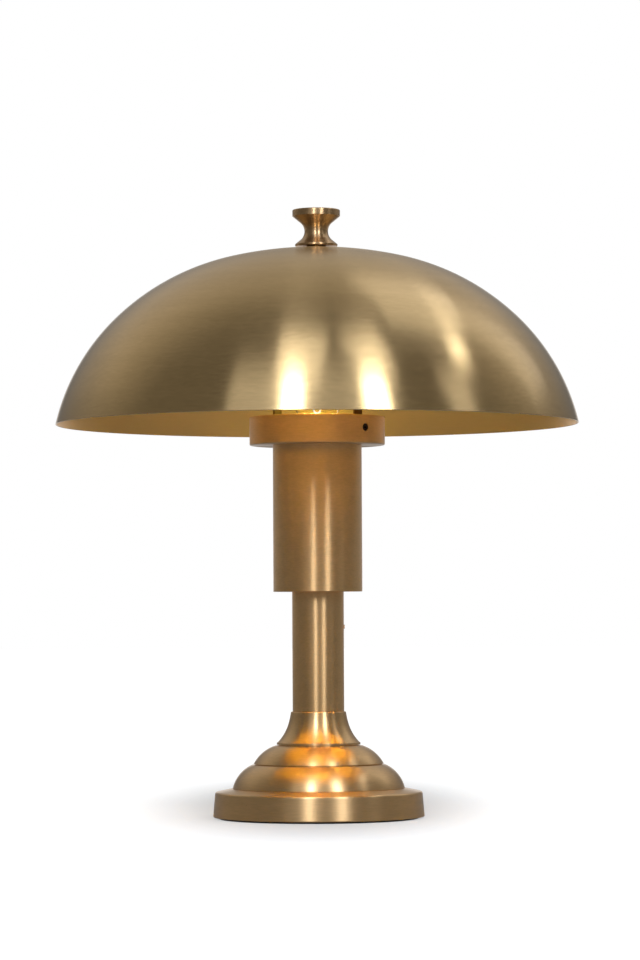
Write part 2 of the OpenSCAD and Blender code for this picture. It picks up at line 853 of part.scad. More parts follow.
module harp() {
    z_under = z_harp_top - bar_t;
    bend_in = harp_corner_r - bar_t;
    bow = outline([
        [leg_out_r, z_collar_floor, 0],
        [leg_out_r, z_harp_top, harp_corner_r],
        [-leg_out_r, z_harp_top, harp_corner_r],
        [-leg_out_r, z_collar_floor, 0],
        [-leg_in_r, z_collar_floor, 0],
        [-leg_in_r, z_under, bend_in],
        [leg_in_r, z_under, bend_in],
        [leg_in_r, z_collar_floor, 0]
    ], 10);
    color(steel) rotate([0, 0, -harp_turn]) difference() {
        translate([0, bar_w / 2, 0]) rotate([90, 0, 0]) linear_extrude(bar_w) polygon(bow);
        for (a = [0, 180])
            spoke(a, z_harp_screw, harp_screw_r + thread_gap, leg_in_r - over, leg_out_r + over);
        bar_up(0, 0, stud_r + thread_gap, z_under - over, z_harp_top + over);
    }
}

module harp_stud() {
    z_under = z_harp_top - bar_t;
    color(steel) union() {
        translate([0, 0, z_under - stud_head_h]) rotate([0, 0, -harp_turn])
            hexagon(stud_head_af, stud_head_h);
        bar_up(0, 0, stud_r, z_under, z_stud_top);
    }
}

module lampholder_bell() {
    z_in = z_rod_top + insert_gap;
    color(black) turned([
        [rod_r + thread_gap, z_bell],
        [bell_neck_r, z_bell],
        [bell_neck_r, z_bell + bell_neck_len],
        [shoulder_r - 1, z_bell + bell_cone_top],
        [shoulder_r, z_bell + bell_rim_h],
        [shoulder_r, z_sleeve_foot],
        [insert_r + insert_gap, z_sleeve_foot],
        [insert_r + insert_gap, z_insert_top - insert_h],
        [bell_neck_r, z_in],
        [rod_r + thread_gap, z_in]
    ]);
}

module lampholder_insert() {
    color(white) ring(insert_r, insert_bore_r, z_insert_top - insert_h, insert_h);
}

module lampholder_contact() {
    color(brass) union() {
        bar_up(0, 0, contact_r, z_insert_top, z_tip);
        translate([-strap_w / 2, -strap_len, z_insert_top]) cube([strap_w, strap_len, strap_t]);
    }
}

module lampholder_sleeve() {
    bore_r = shell_out_r + fit_gap;
    color(black) turned(outline([
        [insert_r + fit_gap, z_sleeve_foot, 0],
        [shoulder_r, z_sleeve_foot, 0],
        [shoulder_r, z_collar, 0],
        [holder_r, z_collar, 0],
        [holder_r, z_mouth, foot_edge],
        [bore_r, z_mouth, mouth_edge],
        [bore_r, z_insert_top, 0],
        [insert_r + fit_gap, z_insert_top, 0]
    ]));
}

module screw_shell() {
    color(steel) ring(shell_out_r, shell_in_r, z_insert_top, shell_h);
}

module clamping_ring() {
    color(black) turned(outline([
        [holder_r + thread_gap, z_collar_floor, 0],
        [ring_d / 2, z_collar_floor, 0],
        [ring_d / 2, z_collar_floor + ring_h, 1],
        [holder_r + thread_gap, z_collar_floor + ring_h, 0.4]
    ]));
}

// Bulb

module bulb_tip() {
    color(steel) turned([
        [0, z_tip],
        [tip_r - 2, z_tip],
        [tip_r - fine_edge, z_tip + tip_h / 2],
        [tip_r, z_insulator],
        [0, z_insulator]
    ]);
}

module bulb_insulator() {
    color(black) turned([
        [0, z_insulator],
        [tip_r + fine_edge, z_insulator],
        [cap_r - cap_groove - cap_wall, z_cap],
        [0, z_cap]
    ]);
}

module bulb_cap() {
    z_thread = z_cap + cap_foot_h;
    inside_r = cap_r - cap_groove - cap_wall;
    threads = [for (i = [0:8 * thread_turns - 1])
        [cap_r - cap_groove * (1 - cos(45 * i)) / 2, z_thread + thread_pitch * i / 8]];
    color(steel) turned(concat(
        [[inside_r, z_cap], [cap_r - cap_groove, z_cap]],
        threads,
        [
            [cap_r, z_thread + thread_pitch * thread_turns],
            [cap_r, z_glass],
            [cap_r - 2 * cap_wall, z_glass],
            [inside_r, z_glass - cap_foot_h]
        ]
    ));
}

module bulb_glass() {
    neck = [cap_r, z_glass];
    mid = [0, z_bulb_mid];
    side = bearing(mid, neck) + acos(bulb_r / norm(neck - mid));
    outward = [cos(side), sin(side)];
    inner_neck = neck - bulb_wall * outward;
    color([0.95, 0.95, 0.92, 0.4]) turned(concat(
        arc(mid, bulb_r, 90, side, 24),
        [neck, [inner_neck.x, z_glass]],
        arc(mid, bulb_r - bulb_wall, side, 90, 24)
    ));
}

module bulb_stem() {
    foot_r = cap_r - 2 * bulb_wall;
    color([0.92, 0.92, 0.90, 0.5]) turned([
        [0, z_glass],
        [foot_r, z_glass],
        [foot_r, z_glass + 1.2],
        [4, z_glass + 5],
        [2.6, z_glass + pinch_h - 1],
        [0, z_glass + pinch_h]
    ]);
}

module bulb_filaments() {
    z0 = z_glass + pinch_h;
    z1 = z0 + filament_h;
    color([1.0, 0.86, 0.55]) union() {
        bar_up(0, 0, filament_r, z0, z1);
        for (a = [45:90:315]) {
            rotate([0, 0, a]) bar_up(filament_ring, 0, filament_r, z0, z1);
            for (z = [z0 + 1, z1 - 1]) spoke(a, z, support_r, 0, filament_ring);
        }
    }
}

// Shade and knob

module shade_seat() {
    hub_top = z_crown - fit_gap;
    color(brass) turned([
        [stud_r + rod_gap, z_seat],
        [seat_r, z_seat],
        [seat_r, z_seat_top],
        [hub_r - 2 * slide_gap, z_seat_top],
        [hub_r - 2 * slide_gap, hub_top],
        [stud_r + rod_gap, hub_top]
    ]);
}

// The dome's wall at a depth below its outer face, from the hub's hole to the rim
function dome_wall(depth) =
    let (
        crown = crown_r - depth,
        shoulder = shoulder_r_arc - depth,
        side = side_r_arc - depth,
        start = acos(hub_r / crown),
        end = asin((z_rim - side_c.y) / side)
    )
    concat(
        [[hub_r, crown_c.y + crown * sin(start)]],
        arc(crown_c, crown, start, 90 - crown_angle, 6, 1),
        arc(shoulder_c, shoulder, 90 - crown_angle, 90 - shoulder_angle, 17, 1),
        arc(side_c, side, 90 - shoulder_angle, end, 17, 1)
    );

module shade() {
    outer = dome_wall(0);
    inner = dome_wall(shade_wall);
    color(brass) turned(concat(outer, [for (i = [len(inner) - 1:-1:0]) inner[i]]));
}

module knob_washer() {
    color(brass) ring(knob_washer_d / 2, stud_r + rod_gap, z_knob_washer, knob_washer_t);
}

module knob() {
    bore = stud_r + knob_gap;
    z_bore = z_stud_top + stud_end_gap;
    foot = [
        [bore, z_knob],
        [knob_foot_d / 2 - fine_edge, z_knob],
        [knob_foot_d / 2, z_knob + fine_edge],
        [knob_foot_d / 2, z_knob + knob_foot_t]
    ];
    waist = arc([cove_c_r, z_waist], knob_cove_r, 180 + knob_slope, 180 - knob_slope, 16);
    head = [
        [knob_head_d / 2, z_knob_head],
        [knob_head_d / 2, z_knob_top - knob_edge_r]
    ];
    edge = arc([knob_head_d / 2 - knob_edge_r, z_knob_top - knob_edge_r], knob_edge_r, 0, 90, 4, 1);
    inside = [[0, z_knob_top], [0, z_bore], [bore, z_bore]];
    color(brown_brass) turned(concat(foot, waist, head, edge, inside));
}

felt_pad();
bottom_cover();
cover_screws();
ballast_weight();
ballast_screws();
base_plate();
cord_grommet();
terminal_block();
terminal_screws();
block_screw();
earth_wire();
earth_screw();
lower_step();
upper_step();
stem_flare();
stem_tube();
stem_bush();
stem_screw();
threaded_rod();
rod_nuts();
rod_washers();
inner_lead();
housing_floor();
housing_tube();
collar();
collar_screws();
harp();
harp_stud();
lampholder_bell();
lampholder_insert();
lampholder_contact();
lampholder_sleeve();
screw_shell();
clamping_ring();
bulb_tip();
bulb_insulator();
bulb_cap();
bulb_glass();
bulb_stem();
bulb_filaments();
shade_seat();
shade();
knob_washer();
knob();
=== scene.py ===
"""Table lamp in satin antique brass: a spun dome on a harp, a collar, a tube, a stem and a stepped foot."""
import json
import math

import bmesh
import bpy
from mathutils import Matrix, Vector, noise

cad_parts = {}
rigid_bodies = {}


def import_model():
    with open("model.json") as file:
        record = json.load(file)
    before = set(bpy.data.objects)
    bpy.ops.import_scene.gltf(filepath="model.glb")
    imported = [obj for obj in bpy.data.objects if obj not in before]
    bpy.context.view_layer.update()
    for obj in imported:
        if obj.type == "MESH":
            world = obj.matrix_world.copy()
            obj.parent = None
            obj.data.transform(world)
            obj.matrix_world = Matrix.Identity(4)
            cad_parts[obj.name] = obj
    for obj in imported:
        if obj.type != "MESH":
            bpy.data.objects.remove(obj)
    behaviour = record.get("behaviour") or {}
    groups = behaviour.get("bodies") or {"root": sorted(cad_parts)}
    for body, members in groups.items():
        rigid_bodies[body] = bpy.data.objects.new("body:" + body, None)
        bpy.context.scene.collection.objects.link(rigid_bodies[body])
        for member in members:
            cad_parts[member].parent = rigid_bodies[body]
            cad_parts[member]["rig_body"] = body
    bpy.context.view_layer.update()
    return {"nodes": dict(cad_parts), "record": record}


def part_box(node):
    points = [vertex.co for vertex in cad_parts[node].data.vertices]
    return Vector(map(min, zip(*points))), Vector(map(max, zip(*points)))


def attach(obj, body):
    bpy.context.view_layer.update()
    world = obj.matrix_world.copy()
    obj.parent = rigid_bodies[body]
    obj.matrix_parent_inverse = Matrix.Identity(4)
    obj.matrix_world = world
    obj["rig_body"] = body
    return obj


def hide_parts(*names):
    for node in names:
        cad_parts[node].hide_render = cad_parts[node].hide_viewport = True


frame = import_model()
scene = bpy.context.scene
MM = 0.001
SLOT_OF = {s["node"]: s["material_slot"] for s in frame["record"]["subparts"]}

# Outlines, as points of radius and height

def span(node):
    """A node's lowest height, highest height and outer radius or half width, in metres."""
    low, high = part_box(node)
    return low.z, high.z, high.x


def arc(centre, radius, start, end, steps, first=0):
    """Points of an arc about centre, from one angle to another in degrees."""
    turn = [math.radians(start + (end - start) * i / steps) for i in range(first, steps + 1)]
    return [(centre[0] + radius * math.cos(t), centre[1] + radius * math.sin(t)) for t in turn]


def bearing(centre, point):
    """Direction of a point seen from centre, in degrees."""
    return math.degrees(math.atan2(point[1] - centre[1], point[0] - centre[0]))


def left_centre(p, q, radius):
    """Centre of the circle through p and q that lies to the left of the way from p to q."""
    p, q = Vector(p), Vector(q)
    across = Vector((p.y - q.y, q.x - p.x)).normalized()
    return (p + q) / 2 + across * math.sqrt(radius ** 2 - (q - p).length_squared / 4)


def upright(radius, low, high, steps):
    """Points up a straight wall, close enough together to carry a thread."""
    return [(radius, low + (high - low) * i / steps) for i in range(steps + 1)]


def rounded(corners, steps=6):
    """Closed outline from corners given as (radius, height) or (radius, height, rounding)."""
    points = []
    for i, corner in enumerate(corners):
        b = Vector(corner[:2])
        fillet = corner[2] if len(corner) > 2 else 0
        if not fillet:
            points.append(tuple(b))
            continue
        u = (Vector(corners[i - 1][:2]) - b).normalized()
        v = (Vector(corners[(i + 1) % len(corners)][:2]) - b).normalized()
        half = u.angle(v) / 2
        m = b + (u + v).normalized() * fillet / math.sin(half)
        start = bearing(m, b + u * fillet / math.tan(half))
        turn = bearing(m, b + v * fillet / math.tan(half)) - start
        turn -= 360 * round(turn / 360)
        points += arc(m, fillet, start, start + turn, steps)
    return points


def supported(points, edge=0.2 * MM, longest=4 * MM):
    """The outline with more points on its long stretches, so that each rounding shades crisply."""
    out = []
    for i, p in enumerate(points):
        a = Vector(p)
        b = Vector(points[(i + 1) % len(points)])
        length = (b - a).length
        out.append(tuple(a))
        if length > longest and max(a.x, b.x) > edge:
            inner = max(1, round(length / longest))
            shares = [edge / length] + [k / inner for k in range(1, inner)] + [1 - edge / length]
            out += [tuple(a.lerp(b, s)) for s in shares]
    return out

# Meshes

SAME_POINT = 1e-6
ON_AXIS = 1e-9
SHARP_ANGLE = 40


def new_object(name, mesh):
    thing = bpy.data.objects.new(name, mesh)
    scene.collection.objects.link(thing)
    return thing


def finish_mesh(mesh):
    """Joins doubled points, turns the faces outwards and keeps corners above an angle crisp."""
    work = bmesh.new()
    work.from_mesh(mesh)
    bmesh.ops.remove_doubles(work, verts=work.verts, dist=SAME_POINT)
    bmesh.ops.recalc_face_normals(work, faces=work.faces)
    for face in work.faces:
        face.smooth = True
    for edge in work.edges:
        edge.smooth = len(edge.link_faces) != 2 or edge.calc_face_angle(0) < math.radians(SHARP_ANGLE)
    work.to_mesh(mesh)
    work.free()


def crisp(thing):
    """Lets large faces lead the shading, so that narrow roundings catch the light as bright lines."""
    thing.modifiers.new("shading", "WEIGHTED_NORMAL").keep_sharp = True
    return thing


def lathe(name, outline, turns=256, wobble=None, along=None):
    """Turns a closed outline about the upright axis, and moves the result by the matrix along.

    wobble(angle, r, z) may give each point another radius and height."""
    mesh = bpy.data.meshes.new(name)
    count = len(outline)
    points = []
    for j in range(turns):
        t = 2 * math.pi * j / turns
        for r, z in outline:
            if wobble:
                r, z = wobble(t, r, z)
            points.append((r * math.cos(t), r * math.sin(t), z))
    faces = []
    for j in range(turns):
        a = j * count
        b = (j + 1) % turns * count
        for i in range(count):
            k = (i + 1) % count
            if outline[i][0] > ON_AXIS or outline[k][0] > ON_AXIS:
                faces.append((a + i, b + i, b + k, a + k))
    mesh.from_pydata(points, [], faces)
    if along:
        mesh.transform(along)
    finish_mesh(mesh)
    return crisp(new_object(name, mesh))


def prism(name, outline, low, high, place, taper=1.0):
    """A prism of a flat outline between two heights, narrower at its top by taper."""
    mesh = bpy.data.meshes.new(name)
    count = len(outline)
    points = [(x, y, low) for x, y in outline] + [(x * taper, y * taper, high) for x, y in outline]
    sides = [(i, (i + 1) % count, count + (i + 1) % count, count + i) for i in range(count)]
    mesh.from_pydata(points, [], [tuple(range(count))[::-1], tuple(range(count, 2 * count))] + sides)
    mesh.transform(place)
    finish_mesh(mesh)
    return new_object(name, mesh)


def apply_modifiers(thing):
    """Fixes the modifiers' result into the mesh."""
    bpy.context.view_layer.update()
    seen = thing.evaluated_get(bpy.context.evaluated_depsgraph_get())
    mesh = bpy.data.meshes.new_from_object(seen)
    thing.modifiers.clear()
    thing.data = mesh


def cut(thing, tools):
    """Cuts the tools' shapes out of a piece and takes the tools away."""
    for tool in tools:
        step = thing.modifiers.new("cut", "BOOLEAN")
        step.operation, step.solver, step.object = "DIFFERENCE", "EXACT", tool
    apply_modifiers(thing)
    for tool in tools:
        bpy.data.objects.remove(tool)
    finish_mesh(thing.data)
    return thing


def join(name, things):
    """One object from several."""
    work = bmesh.new()
    for thing in things:
        apply_modifiers(thing)
        work.from_mesh(thing.data)
        bpy.data.objects.remove(thing)
    mesh = bpy.data.meshes.new(name)
    work.to_mesh(mesh)
    work.free()
    finish_mesh(mesh)
    return crisp(new_object(name, mesh))


def finish_of(node):
    """A node's own finish, or else that of its material slot."""
    return OWN_FINISH.get(node) or FINISHES[SLOT_OF[node]]


def stand_for(piece, node, material=None):
    """The piece takes a CAD node's place, body, material slot and finish."""
    piece.data.materials.clear()
    piece.data.materials.append(material or finish_of(node))
    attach(piece, frame["nodes"][node]["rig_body"])
    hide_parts(node)
    return piece


def turn(node, name, outline, turns=256):
    """A turned piece that stands for a node."""
    return stand_for(lathe(name, supported(outline), turns), node)


def wave(t, height, pitch):
    """0 on the crest and 1 in the root of a right-hand thread, at an angle and a height."""
    return 0.5 - 0.5 * math.cos(2 * math.pi * height / pitch - t)


def thread(low, high, pitch, depth, radius):
    """A wobble that cuts a rounded thread into a wall of that radius, fading at both ends."""
    def wobble(t, r, z):
        if r < radius - 1e-7 or not low < z < high:
            return r, z
        fade = min(1, (z - low) / pitch, (high - z) / pitch)
        return r - depth * wave(t, z - low, pitch) * fade, z
    return wobble


def hexagonal(flats):
    """A wobble that gives a round wall six flats."""
    def wobble(t, r, z):
        side = (math.degrees(t) + 45) % 60 - 30
        return min(flats / 2 / math.cos(math.radians(side)), r), z
    return wobble

# Materials

COLOUR_A = 6
COLOUR_B = 7
MIXED_COLOUR = 2


class Graph:
    """Short calls for a material's nodes. Each gives the output socket that the next one takes."""

    def __init__(self, owner):
        owner.use_nodes = True
        self.owner, self.tree = owner, owner.node_tree
        self.tree.nodes.clear()

    def put(self, socket, value):
        if isinstance(value, bpy.types.NodeSocket):
            self.tree.links.new(value, socket)
        else:
            socket.default_value = value

    def node(self, kind, inputs=None, **settings):
        made = self.tree.nodes.new("ShaderNode" + kind)
        for key, value in settings.items():
            setattr(made, key, value)
        for key, value in (inputs or {}).items():
            self.put(made.inputs[key], value)
        return made

    def math(self, operation, a, b=0.0):
        return self.node("Math", {0: a, 1: b}, operation=operation).outputs[0]

    def clip(self, value):
        return self.node("Clamp", {"Value": value}).outputs[0]

    def mix(self, share, a, b):
        inputs = {0: share, COLOUR_A: a, COLOUR_B: b}
        return self.node("Mix", inputs, data_type="RGBA").outputs[MIXED_COLOUR]

    def scale(self, value, low, high, to_low=0.0, to_high=1.0, ease="LINEAR"):
        inputs = {"Value": value, "From Min": low, "From Max": high, "To Min": to_low, "To Max": to_high}
        return self.node("MapRange", inputs, interpolation_type=ease).outputs[0]

    def blend(self, *parts):
        """Sum of 0.5 and each (value, weight), where a value of 0.5 adds nothing."""
        total = 0.5
        for value, weight in parts:
            share = self.math("MULTIPLY", self.math("SUBTRACT", value, 0.5), weight)
            total = self.math("ADD", share, total)
        return self.clip(total)

    def noise(self, vector, scale, detail=2.0, rough=0.5, w=None):
        inputs = {"Vector": vector, "Scale": scale, "Detail": detail, "Roughness": rough}
        if w is not None:
            inputs["W"] = w
        return self.node("TexNoise", inputs, noise_dimensions="4D" if w is not None else "3D").outputs[0]

    def place(self):
        return self.node("TexCoord").outputs["Object"]

    def bump(self, height, depth):
        return self.node("Bump", {"Height": height, "Distance": depth, "Strength": 1.0}).outputs[0]

    def show(self, shader):
        self.tree.links.new(shader, self.node("OutputMaterial").inputs["Surface"])
        return self.owner

    def surface(self, inputs):
        return self.show(self.node("BsdfPrincipled", inputs).outputs[0])


def rgb(r, g, b):
    return (r, g, b, 1.0)


def turned_noise(g, around, along, detail, rough=0.5):
    """Noise drawn out round the axis, with so many waves to the metre along the profile."""
    x, y, z = g.node("SeparateXYZ", {"Vector": g.place()}).outputs[:3]
    flat = g.math("ADD", g.math("MULTIPLY", x, x), g.math("MULTIPLY", y, y))
    radius = g.math("MAXIMUM", g.math("SQRT", flat), 1e-5)
    east = g.math("MULTIPLY", g.math("DIVIDE", x, radius), around)
    north = g.math("MULTIPLY", g.math("DIVIDE", y, radius), around)
    vector = g.node("CombineXYZ", {"X": east, "Y": north, "Z": g.math("MULTIPLY", z, along)}).outputs[0]
    return g.noise(vector, 1.0, detail, rough, w=g.math("MULTIPLY", radius, along))


def facing(g, height):
    """1 on faces that look at the axis at that height, such as the inside of the dome."""
    away = g.node("VectorMath", {0: g.place(), 1: (0, 0, height)}, operation="SUBTRACT").outputs[0]
    normal = g.node("TexCoord").outputs["Normal"]
    outward = g.node("VectorMath", {0: normal, 1: away}, operation="DOT_PRODUCT").outputs["Value"]
    return g.math("LESS_THAN", outward, 0.0)


PATINA_WAVES = 14.0
SPECK_WAVES = 330.0
TOOL_STREAK = 1.5
LINES_TO_A_MARK = 8
SPECK_SHARE = 0.6
SPECK_DARK = 0.25
EDGE_WEAR = 0.5
BRUSH_DEPTH = 0.006 * MM
ROUND_THE_AXIS = 0.25
# Painted warm bounce light on the dome's inward faces: its gold and its share; then the height on the axis
# that inward faces look at.
PAINTED_BOUNCE_GOLD = (0.70, 0.41, 0.15)
PAINTED_BOUNCE_SHARE = 0.7
INSIDE_HEIGHT = 0.30


def turned_brass(name, light, dark, roughness, aniso, lines, streak=9.0, cloud=0.8, inside_matt_and_painted_bounce=0.0):
    """Satin brass, brushed round the axis: fine lines, tool marks, patina, specks and paler edges.

    There are so many lines to the metre, streak says how short they are and cloud how strong the
    patina is. The matt share is how matt the faces are that look inwards; where it is given, those
    faces also take a painted warm gold, which stands for light bounced round inside the dome."""
    g = Graph(bpy.data.materials.new(name))
    fine = turned_noise(g, streak, lines, 3.0, 0.65)
    marks = turned_noise(g, TOOL_STREAK, lines / LINES_TO_A_MARK, 2.0)
    patina = g.noise(g.place(), PATINA_WAVES, 4.0, 0.55)
    specks = g.scale(g.noise(g.place(), SPECK_WAVES, 2.0, 0.6), 0.76, 0.82)
    edge = g.scale(g.node("NewGeometry").outputs["Pointiness"], 0.50, 0.58)
    tone = g.blend((patina, cloud), (marks, 0.6), (fine, 1.2))
    tone = g.clip(g.math("ADD", tone, g.math("MULTIPLY", edge, EDGE_WEAR)))
    base = g.mix(tone, rgb(*dark), rgb(*light))
    base = g.mix(g.math("MULTIPLY", specks, SPECK_SHARE), base, rgb(*[SPECK_DARK * c for c in dark]))
    uneven = g.scale(g.blend((fine, 0.7), (patina, 0.7)), 0.0, 1.0, -0.04, 0.04)
    rough = g.math("ADD", uneven, roughness)
    metal = 1.0
    if inside_matt_and_painted_bounce:
        inward = facing(g, INSIDE_HEIGHT)
        # Painted bounce light: inward faces take a share of warm gold that stands for light bounced round
        # inside the dome.
        base = g.mix(g.math("MULTIPLY", inward, PAINTED_BOUNCE_SHARE), base, rgb(*PAINTED_BOUNCE_GOLD))
        matt = g.math("MULTIPLY", inward, inside_matt_and_painted_bounce)
        metal = g.math("SUBTRACT", 1.0, matt)
        rough = g.math("ADD", g.math("MULTIPLY", matt, 0.4), rough)
    return g.surface({
        "Base Color": base,
        "Metallic": metal,
        "Roughness": rough,
        "Anisotropic": aniso,
        "Anisotropic Rotation": ROUND_THE_AXIS,
        "Tangent": g.node("Tangent", direction_type="RADIAL", axis="Z").outputs[0],
        "Normal": g.bump(g.blend((fine, 0.7), (marks, 0.3)), BRUSH_DEPTH),
    })


def mottled(name, light, dark, roughness, broad=60.0, fine=900.0, depth=0.01 * MM, **extra):
    """A plain surface with a cloudy tone, a fine grain and a little unevenness."""
    g = Graph(bpy.data.materials.new(name))
    cloud = g.noise(g.place(), broad, 3.0, 0.6)
    grain = g.noise(g.place(), fine, 2.0, 0.6)
    inputs = {
        "Base Color": g.mix(g.blend((cloud, 1.4), (grain, 0.9)), rgb(*dark), rgb(*light)),
        "Roughness": g.scale(grain, 0.2, 0.8, roughness - 0.06, roughness + 0.06),
        "Normal": g.bump(g.blend((grain, 0.6), (cloud, 0.4)), depth),
    }
    inputs.update({key.replace("_", " "): value for key, value in extra.items()})
    return g.surface(inputs)


def clear_glass(name, tint):
    """Clear glass with faint smears, which lets the lamp's light through."""
    g = Graph(bpy.data.materials.new(name))
    smear = g.noise(g.place(), 60.0, 3.0, 0.6)
    glass = g.node("BsdfPrincipled", {
        "Base Color": g.mix(g.scale(smear, 0.35, 0.65), rgb(*tint), rgb(1, 1, 1)),
        "Roughness": g.scale(smear, 0.3, 0.7, 0.0, 0.04),
        "IOR": 1.45,
        "Transmission Weight": 1.0,
    }).outputs[0]
    through = g.node("BsdfTransparent").outputs[0]
    share = g.node("LightPath").outputs["Is Shadow Ray"]
    return g.show(g.node("MixShader", {0: share, 1: glass, 2: through}).outputs[0])


def glowing(name, light, dark, glow, strength):
    """A coated filament that glows."""
    g = Graph(bpy.data.materials.new(name))
    patch = g.scale(g.noise(g.place(), 500.0), 0.3, 0.7)
    return g.surface({
        "Base Color": g.mix(patch, rgb(*dark), rgb(*light)),
        "Roughness": g.scale(patch, 0.0, 1.0, 0.4, 0.6),
        "Emission Color": rgb(*glow),
        "Emission Strength": strength,
    })


FILAMENT_GLOW = 3.5
FINISHES = {
    # The dome's inward faces are matter and carry painted warm bounce light.
    "shade_brass": turned_brass("dome_brass", (0.72, 0.49, 0.225), (0.55, 0.37, 0.16), 0.22, 0.9, 800,
                                streak=24, cloud=0.5, inside_matt_and_painted_bounce=0.22),
    "foot_brass": turned_brass("foot_brass", (0.83, 0.53, 0.245), (0.62, 0.39, 0.175), 0.33, 0.85, 900),
    "stem_brass": turned_brass("stem_brass", (0.88, 0.545, 0.245), (0.66, 0.405, 0.175), 0.35, 0.86, 900),
    "inner_brass": turned_brass("plain_brass", (0.80, 0.60, 0.30), (0.62, 0.44, 0.20), 0.30, 0.4, 1500),
    "steel": mottled("zinc_steel", (0.66, 0.66, 0.66), (0.48, 0.47, 0.45), 0.36, Metallic=1.0),
    # Very dark brown metal on the harp.
    "harp_steel": mottled("dark_brown_steel", (0.16, 0.10, 0.05), (0.08, 0.05, 0.025), 0.42, 50, Metallic=1.0),
    "iron": mottled("cast_iron", (0.10, 0.10, 0.105), (0.05, 0.05, 0.055), 0.62, 40, 700, 0.12 * MM),
    "cover_steel": mottled("cover_paint", (0.12, 0.115, 0.11), (0.08, 0.078, 0.075), 0.46,
                           30, 1500, 0.03 * MM),
    "felt": mottled("felt_wool", (0.075, 0.068, 0.06), (0.028, 0.025, 0.022), 0.92, 90, 1800, 0.25 * MM,
                    Sheen_Weight=0.5, Sheen_Roughness=0.5),
    "grommet": mottled("dark_rubber", (0.055, 0.048, 0.042), (0.03, 0.027, 0.024), 0.55,
                       80, 900, 0.02 * MM),
    "block": mottled("nylon", (0.80, 0.79, 0.74), (0.68, 0.66, 0.61), 0.42),
    "lead_sheath": mottled("sheath_white", (0.78, 0.77, 0.73), (0.66, 0.64, 0.60), 0.5),
    "earth_sheath": mottled("sheath_green", (0.62, 0.60, 0.06), (0.08, 0.34, 0.07), 0.45, 260),
    "holder": mottled("phenolic", (0.055, 0.045, 0.04), (0.025, 0.02, 0.018), 0.34, 120),
    "porcelain": mottled("porcelain", (0.86, 0.85, 0.81), (0.76, 0.74, 0.70), 0.16, 50),
    "nickel": mottled("nickel", (0.74, 0.71, 0.66), (0.58, 0.55, 0.50), 0.24, 90, Metallic=1.0),
    "cap_insulator": mottled("black_glass", (0.03, 0.03, 0.035), (0.015, 0.015, 0.02), 0.12),
    "bulb_glass": clear_glass("glass_envelope", (0.97, 0.98, 0.96)),
    "stem_glass": clear_glass("glass_stem", (0.93, 0.97, 0.94)),
    "filament": glowing("filament_glow", (0.95, 0.75, 0.3), (0.8, 0.55, 0.15), (1.0, 0.50, 0.10),
                        FILAMENT_GLOW),
}

OWN_FINISH = {
    # Near-black metal on the collar screws.
    "collar_screws": mottled("near_black_steel", (0.07, 0.055, 0.045), (0.03, 0.024, 0.02), 0.40, 300,
                             Metallic=1.0),
    "knob": turned_brass("knob_brass", (0.64, 0.41, 0.20), (0.48, 0.30, 0.145), 0.33, 0.85, 900),
}

# Sizes that several pieces share

FINE_EDGE = 0.4 * MM
BROKEN_EDGE = 0.25 * MM
GROOVE = 0.8 * MM
REVEAL = 1.4 * MM
STEP_WALL = 3 * MM
SPIGOT = 1.5 * MM
ROD_BORE = 5.3 * MM
STEM_BORE = 18.9 * MM
BULB_PITCH = 3.62 * MM

# Foot

def make_felt():
    """Pressed felt with a soft, slightly uneven edge and underside."""
    low, high, r = span("felt_pad")
    ring_count = 24
    grain = 3 * MM
    skin = 0.6 * MM
    sag = 0.12 * MM
    calm_r = 20 * MM
    edge_r = 0.97 * r
    fray = 0.35 * MM

    def fuzz(t, radius, z):
        place = Vector((math.cos(t), math.sin(t), z / MM)) * radius / grain
        uneven = 0.5 + 0.5 * noise.noise(place)
        if z < low + skin:
            z += sag * uneven * min(1, radius / calm_r)
        if radius > edge_r:
            radius -= fray * uneven
        return radius, z

    underside = [(r * k / ring_count, low) for k in range(ring_count)]
    edge = rounded([(r, low, 0.5 * MM), (r, high, 0.3 * MM), (0, high), (0, low)])
    return stand_for(lathe("felt_disc", underside + edge[:-1], 192, fuzz), "felt_pad")


def make_cover_screws():
    """Countersunk screws with a cross recess, in the steel cover."""
    low, high, _ = span("cover_screws")
    ring = 77.2 * MM
    head = 3 * MM
    body = 1.5 * MM
    rim = 0.1 * MM
    cone = 1.5 * MM
    thread_low = low + 2 * MM
    point = 0.8 * MM
    pitch = 1.1 * MM
    groove = 0.3 * MM
    point_r = body - 0.5 * MM
    arm = 1.7 * MM
    width = 0.42 * MM
    depth = 1.1 * MM
    draft = 0.55
    first_turn = 17
    more_turn = 40
    cross = [
        (width, width), (width, arm), (-width, arm), (-width, width), (-arm, width), (-arm, -width),
        (-width, -width), (-width, -arm), (width, -arm), (width, -width), (arm, -width), (arm, width),
    ]
    outline = [(0, low), (head - rim, low), (head, low + rim), (body, low + cone)]
    outline += upright(body, thread_low, high - point, 24) + [(point_r, high), (0, high)]
    worm = thread(thread_low, high, pitch, groove, body)
    made = []
    for k, angle in enumerate((30, 150, 270)):
        place = Matrix.Rotation(math.radians(angle), 4, "Z") @ Matrix.Translation((ring, 0, 0))
        place = place @ Matrix.Rotation(math.radians(first_turn + more_turn * k), 4, "Z")
        screw = lathe("screw", outline, 48, worm, along=place)
        made.append(cut(screw, [prism("cross", cross, low - 0.2 * MM, low + depth, place, draft)]))
    return stand_for(join("cover_screw_set", made), "cover_screws")


